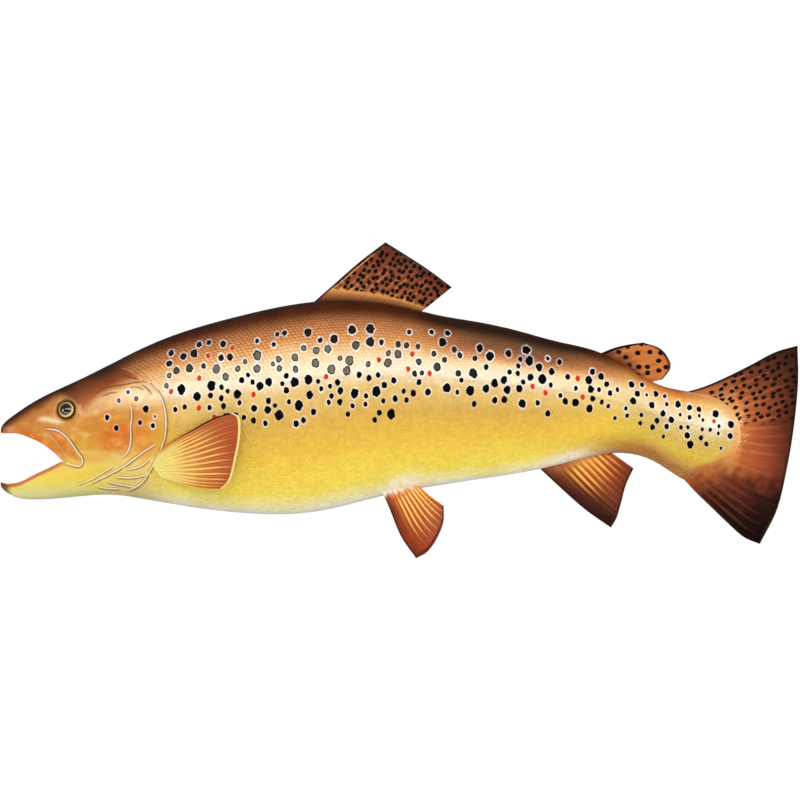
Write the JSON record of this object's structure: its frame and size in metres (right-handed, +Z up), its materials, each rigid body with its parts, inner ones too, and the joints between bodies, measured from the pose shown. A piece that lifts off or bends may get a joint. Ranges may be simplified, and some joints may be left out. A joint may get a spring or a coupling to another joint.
{
  "type": "mounted brown trout",
  "caption": "Life-size mounted brown trout with open hooked jaws and spread fins, painted and varnished, hung by a wooden block in its far flank.",
  "frame": {"origin": "centre of the hanger block's flat back face, which rests on the wall", "axes": "+X towards the tail, +Y into the wall, +Z up; the fish's left side faces -Y"},
  "size_m": [0.7797, 0.118, 0.3085],
  "materials": {
    "body_skin": "gloss varnish over painted, scaled skin",
    "head_skin": "gloss varnish over paint",
    "jaw_skin": "gloss varnish over paint",
    "mouth_lining": "satin paint",
    "fin_skin": "gloss varnish over paint",
    "eye_glass": "polished, painted from behind",
    "hanger_wood": "planed, unfinished"
  },
  "bodies": {
    "root": {"adipose_fin": "fin_skin", "anal_fin": "fin_skin", "dorsal_fin": "fin_skin", "eye_left": "eye_glass", "eye_right": "eye_glass", "gill_cover_left": "head_skin", "gill_cover_right": "head_skin", "hanger_block": "hanger_wood", "head": "head_skin", "lower_jaw": "jaw_skin", "maxilla_left": "jaw_skin", "maxilla_right": "jaw_skin", "pectoral_fin_left": "fin_skin", "pectoral_fin_right": "fin_skin", "pelvic_fin_left": "fin_skin", "pelvic_fin_right": "fin_skin", "tail_fin": "fin_skin", "tail_stem": "body_skin", "tongue": "mouth_lining", "trunk": "body_skin"}
  },
  "joints": []
}
